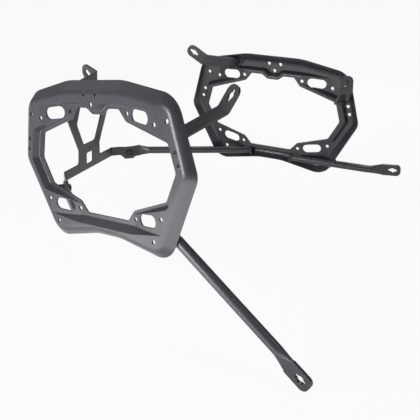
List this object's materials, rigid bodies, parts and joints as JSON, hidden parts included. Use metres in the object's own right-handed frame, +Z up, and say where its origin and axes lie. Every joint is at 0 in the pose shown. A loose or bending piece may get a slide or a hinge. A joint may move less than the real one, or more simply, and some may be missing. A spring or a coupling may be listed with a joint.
{
  "type": "motorcycle pannier frame",
  "caption": "Motorcycle side luggage frame: pressed steel rings with luggage slots on welded tubes and straps, bolted to a rear bridge plate.",
  "frame": {"origin": "middle of the front face of the rear bridge's waist, on the machine's centre plane", "axes": "+X forward along the motorcycle, +Y to the rider's left, +Z up"},
  "size_m": [0.6267, 0.6037, 0.3512],
  "materials": {
    "powder_coat": "satin",
    "fasteners": "satin"
  },
  "bodies": {
    "root": {"right_ring": "powder_coat", "right_front_strut": "powder_coat", "right_rear_strut": "powder_coat", "right_front_bracket": "powder_coat", "right_rear_bracket": "powder_coat", "right_bridge_screw": "fasteners", "right_head_washer": "fasteners", "right_nut_washer": "fasteners", "right_bridge_nut": "fasteners", "left_ring": "powder_coat", "left_front_strut": "powder_coat", "left_rear_strut": "powder_coat", "left_front_bracket": "powder_coat", "left_rear_bracket": "powder_coat", "left_bridge_screw": "fasteners", "left_head_washer": "fasteners", "left_nut_washer": "fasteners", "left_bridge_nut": "fasteners", "rear_bridge": "powder_coat"}
  },
  "joints": []
}
